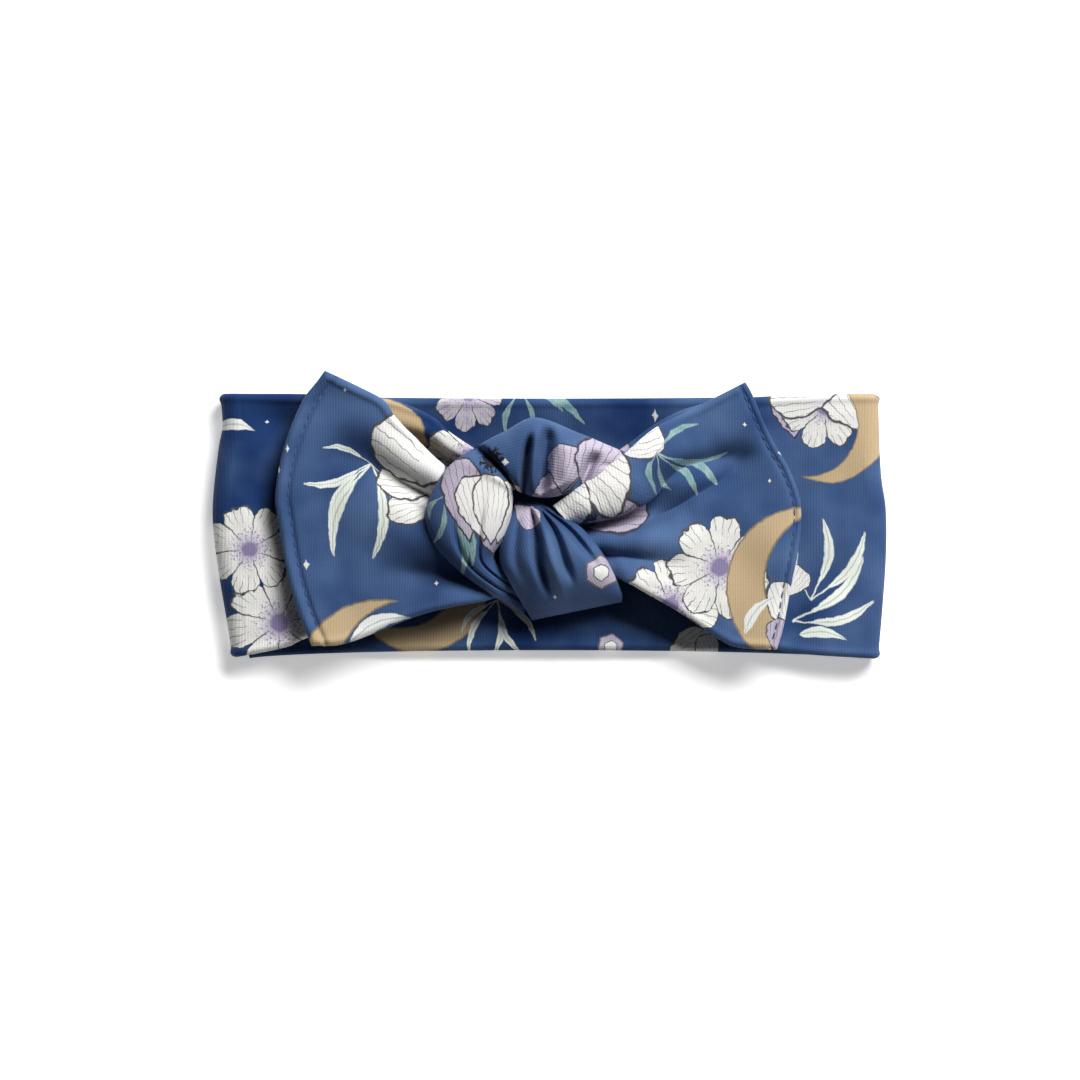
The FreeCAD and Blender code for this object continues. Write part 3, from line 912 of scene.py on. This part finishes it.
def left_folds(u, v):
    """Folds of the left tail, fanning out from the knot."""
    z = -5.0 * bump(v, 0.70 + 0.03 * u, 0.05 + 0.05 * u) * smooth(0.95, 0.15, u)
    z += 2.6 * bump(v, 0.87, 0.09) * smooth(1.0, 0.3, u)
    z += 3.6 * bump(v, 0.44, 0.17) * smooth(0.9, 0.2, u)
    z += -3.6 * bump(v, 0.18 + 0.1 * u, 0.07) * smooth(0.65, 0.1, u)
    z += -2.4 * bump(v, 0.57 + 0.06 * u, 0.035) * smooth(0.5, 0.1, u)
    z += -3.4 * bump(v, 0.0, 0.20) * smooth(0.24, 0.0, u)
    z += 0.8 * bump(v, 0.05, 0.06) * smooth(0.7, 0.3, u)
    z += 0.9 * bump(v, 1.0, 0.05) * smooth(0.2, 0.9, u)
    return z


def left_slide(u, v):
    """How far the left tail's cloth leans towards its lower edge."""
    return 1.0 * bump(v, 0.78, 0.05) * smooth(0.6, 0.1, u)


def right_folds(u, v):
    """Folds of the right tail: its upper edge rolls over, with a deep hollow under the roll."""
    roll = smooth(0.86, 0.30, u)
    z = 5.4 * np.exp(-((v - 0.90) / 0.105) ** 4) * roll
    z += -8.4 * bump(v, 0.645, 0.10) * smooth(0.58, 0.22, u)
    z += 2.6 * bump(v, 0.44, 0.12) * smooth(0.85, 0.2, u)
    z += -2.8 * bump(v, 0.84 - 0.08 * u, 0.045) * smooth(0.35, 0.50, u) * smooth(0.98, 0.75, u)
    z += -2.0 * bump(v, 0.45 + 0.33 * u, 0.035) * smooth(0.2, 0.35, u) * smooth(0.95, 0.8, u)
    z += -1.8 * bump(v, 0.30, 0.06) * smooth(0.55, 0.1, u)
    z += 1.1 * bump(v, 0.12, 0.09) * smooth(0.6, 0.2, u)
    z += -1.8 * smooth(0.12, 0.0, u)
    return z


def right_slide(u, v):
    """How far the roll leans over the hollow below it, and the hollow goes in under the roll."""
    deep = smooth(0.62, 0.34, u) * smooth(-0.06, 0.24, u)
    return (3.6 * bump(v, 0.80, 0.05) - 1.2 * bump(v, 0.71, 0.04)) * deep


def build_tail(word, outline, hinge, folds, slide, inset, material, sewing):
    """One tail: two plies sewn round three sides and topstitched along the end."""
    laid, u, v = patch(*[outline[key] for key in ("root", "end", "bottom", "top")], 170, 240)
    down = laid[:, :1] - laid[:, -1:]
    down = down / np.linalg.norm(down, axis=2, keepdims=True)
    plan = laid + down * slide(u, v)[..., None]
    x, y = plan[..., 0], plan[..., 1]
    slope = RISE / (RISE_START - RISE_END)
    past = np.abs(x) - abs(hinge[0])
    z = hinge[2] - HALF - slope * np.maximum(past, -4) + folds(u, v)
    z += 0.75 * waves(x, y, 11 if x.mean() < 0 else 12, 24) * smooth(0.1, 0.4, u)
    z += 0.25 * waves(x, y, 21, 9) * bump(u, 0.15, 0.2)
    z += 2.8 * smooth(0.72, 1.0, u)
    middle = np.concatenate([plan, z[..., None]], axis=2)
    names = (word + "_tail_upper_cloth", word + "_tail_under_cloth")
    upper, under, surface = two_plies(names, middle, material, groove=inset, laid=laid)
    stitches = stitch_row(word + "_tail_stitches", surface, inset, sewing)
    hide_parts(word + "_tail_upper_ply", word + "_tail_turned_seam", word + "_tail_root")
    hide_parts(word + "_tail_under_ply")
    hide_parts(word + "_tail_topstitch")
    for piece in (upper, under, stitches):
        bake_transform(piece)


# ---- the knot ---------------------------------------------------------------------------------
# A station is (one rail x, y, other rail x, y, top, floor).
UPPER_STATIONS = [
    (19, 9, 25, 17, 16.5, 12),
    (13.5, 11, 18, 19.0, 20.0, 11.5),
    (5.5, 8, 7.3, 23.4, 24.4, 11),
    (-1.5, 7, -3.5, 27.2, 26.2, 10.5),
    (-6.5, 8, -11, 23.9, 25.6, 10.5),
    (-9, 9, -17.5, 20.4, 24.4, 10.5),
    (-9.2, 6.5, -26, 14.2, 25.0, 10.5),
    (-9.6, 2.5, -31.2, 4, 25.4, 10.5),
    (-11.5, -3.5, -29.2, -4.6, 24.4, 10.5),
    (-14, -8, -22.9, -11.5, 21.5, 10),
    (-10.5, -12, -15.5, -17, 18.0, 9.5),
    (-6, -13.5, -10.5, -20.0, 14.0, 9),
    (-2.5, -15, -6.5, -22.4, 11.5, 8.5),
]
LOWER_STATIONS = [
    (-9, 6, -3, 6, 16.0, 11),
    (-9.6, 3, 1, 4, 20.3, 11),
    (-12, -3, 8, -0.5, 24.4, 10.5),
    (-12.6, -9, 13, -6.4, 25.2, 10),
    (-10, -14.5, 16.2, -12, 22.8, 9),
    (-6.8, -20, 18.2, -16.8, 17.8, 7.5),
    (-4.4, -24, 18.4, -19.4, 11.5, 6.5),
]
CORE_STATIONS = [
    (-10, -9, -10, 8, 9, 6),
    (-5, -13, -5, 12, 9.5, 3.2),
    (2, -14, 2, 13, 9.5, 2.6),
    (9, -12, 9, 12, 9.5, 3.2),
    (14, -8, 14, 9, 9, 6),
]


def upper_pleats(k, v):
    """Folds across the upper wrap, deepest at the hollow in the middle of the knot."""
    inner = smooth(1.0, 0.72, v)
    z = -7.0 * bump(k + 0.97 * v, 4.0, 0.15) * smooth(0.84, 0.55, v)
    z += -5.5 * bump(k + 0.35 * v, 3.0, 0.17) * inner
    z += 1.6 * bump(k + 0.6 * v, 3.5, 0.17) * inner
    z += 2.2 * bump(k - 0.9 * bump(v, 0.0, 0.12), 2.2, 0.26) * smooth(0.95, 0.65, v)
    z += -4.8 * bump(k + 0.3 * v, 1.75, 0.16) * smooth(0.85, 0.5, v)
    z += -6.0 * bump(k - 0.45 * v, 4.7, 0.15)
    z += 0.8 * bump(k - 0.3 * v, 5.3, 0.25)
    z += -1.2 * bump(v, 0.35, 0.04) * smooth(5.8, 7.4, k)
    z += -1.1 * bump(v, 0.66, 0.05) * smooth(6.6, 8.4, k)
    z += -1.3 * bump(v, 0.5, 0.09) * smooth(1.6, 0.8, k)
    return z


def lower_pleats(k, v):
    """Folds that fan out down the lower wrap."""
    z = -5.2 * bump(v, 0.53 - 0.05 * k, 0.045) * smooth(0.5, 1.5, k) * smooth(5.2, 3.4, k)
    z += 1.3 * bump(v, 0.62 - 0.04 * k, 0.05) * smooth(1.0, 2.5, k) * smooth(5.5, 3.5, k)
    z += -3.4 * bump(v, 0.74 - 0.04 * k, 0.04) * smooth(0.8, 1.6, k) * smooth(4.6, 3.2, k)
    z += -3.2 * bump(v, 0.80 + 0.02 * k, 0.045) * smooth(0.5, 1.5, k) * smooth(4.0, 2.5, k)
    z += -1.6 * bump(v, 0.22 - 0.02 * k, 0.06) * smooth(1.0, 2.0, k) * smooth(5.0, 3.0, k)
    return z


def core_pleats(k, v):
    """Creases in the cloth inside the knot, the same at every station."""
    return 0.5 * np.cos(TURN * 5 * v)


def build_knot(upper_material, lower_material, core_material):
    """The wraps of the knot and the cloth that crosses inside it."""
    upper = wrap_mesh("knot_upper_cloth", UPPER_STATIONS, upper_pleats, upper_material, 380, 160)
    lower = wrap_mesh("knot_lower_cloth", LOWER_STATIONS, lower_pleats, lower_material, 200, 260)
    core = wrap_mesh("knot_inner_cloth", CORE_STATIONS, core_pleats, core_material, 60, 70)
    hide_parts("knot_upper_wrap", "knot_left_wrap")
    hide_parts("knot_lower_wrap")
    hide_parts("knot_core")
    for piece in (upper, lower, core):
        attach(piece, "front_half")


# ---- light, floor and camera ------------------------------------------------------------------
FLOOR_REACH = 3.0               # metres
FLOOR_GLOW = 0.42               # keeps the shadows on the floor from going dark

VIEW_WIDTH = 272.7              # what the camera sees from side to side, at VIEW_HEIGHT
VIEW_CENTRE = (-2.4, -3.66)
VIEW_HEIGHT = 14.0
LENS = 200.0
SENSOR = 36.0


def build_floor():
    """A plain pale floor."""
    reach = FLOOR_REACH
    mesh = bpy.data.meshes.new("floor")
    corners = [(-reach, -reach, 0), (reach, -reach, 0), (reach, reach, 0), (-reach, reach, 0)]
    mesh.from_pydata(corners, [], [(0, 1, 2, 3)])
    floor = bpy.data.objects.new("floor", mesh)
    bpy.context.collection.objects.link(floor)
    paper, _, shader = new_material("floor_paper")
    shader.inputs["Base Color"].default_value = (0.96, 0.96, 0.96, 1)
    shader.inputs["Roughness"].default_value = 0.9
    shader.inputs["Emission Color"].default_value = (1, 1, 1, 1)
    shader.inputs["Emission Strength"].default_value = FLOOR_GLOW
    mesh.materials.append(paper)


def add_lamp(name, place, power, width, height):
    """A soft rectangular lamp that looks at the origin. Place and size are in metres."""
    lamp = bpy.data.lights.new(name, "AREA")
    lamp.shape = "RECTANGLE"
    lamp.energy, lamp.size, lamp.size_y = power, width, height
    light = bpy.data.objects.new(name, lamp)
    light.location = place
    light.rotation_mode = "QUATERNION"
    light.rotation_quaternion = (-light.location).to_track_quat("-Z", "Y")
    bpy.context.collection.objects.link(light)


def build_lights():
    """A soft key light from the upper right, a weak one overhead and a dim white world."""
    add_lamp("key", (0.38, 0.58, 0.72), 15.8, 0.6, 0.4)
    add_lamp("overhead", (-0.1, -0.1, 1.3), 0.5, 1.1, 1.1)
    world = bpy.data.worlds.new("studio")
    world.use_nodes = True
    background = world.node_tree.nodes["Background"]
    background.inputs["Color"].default_value = (1, 1, 1, 1)
    background.inputs["Strength"].default_value = 0.04
    bpy.context.scene.world = world


def build_camera():
    """Straight down through a long lens."""
    lens = bpy.data.cameras.new("camera")
    lens.lens, lens.sensor_width = LENS, SENSOR
    lens.clip_end = 20
    camera = bpy.data.objects.new("camera", lens)
    height = VIEW_WIDTH * LENS / SENSOR + VIEW_HEIGHT
    camera.location = (VIEW_CENTRE[0] * MM, VIEW_CENTRE[1] * MM, height * MM)
    bpy.context.collection.objects.link(camera)
    bpy.context.scene.camera = camera
    bpy.context.scene.view_settings.view_transform = "Standard"


# The back and the front panels get a higher deep than the tails and the knot: painted shade on the layers
# that lie under them, deepest on the left panel.
build_back(jersey("jersey_back", BACK_PRINT, deep=0.58))
build_front(-1, jersey("jersey_front_left", FRONT_LEFT_PRINT, deep=0.70))
build_front(1, jersey("jersey_front_right", FRONT_RIGHT_PRINT, deep=0.50))
navy_thread = thread("navy_thread")
build_tail("left", LEFT_OUTLINE, LEFT_HINGE, left_folds, left_slide, LEFT_INSET,
           jersey("jersey_left_tail", LEFT_TAIL_PRINT), navy_thread)
build_tail("right", RIGHT_OUTLINE, RIGHT_HINGE, right_folds, right_slide, RIGHT_INSET,
           jersey("jersey_right_tail", RIGHT_TAIL_PRINT), navy_thread)
build_knot(jersey("jersey_upper_wrap", UPPER_WRAP_PRINT), jersey("jersey_lower_wrap", LOWER_WRAP_PRINT),
           jersey("jersey_core", []))
build_floor()
build_lights()
build_camera()
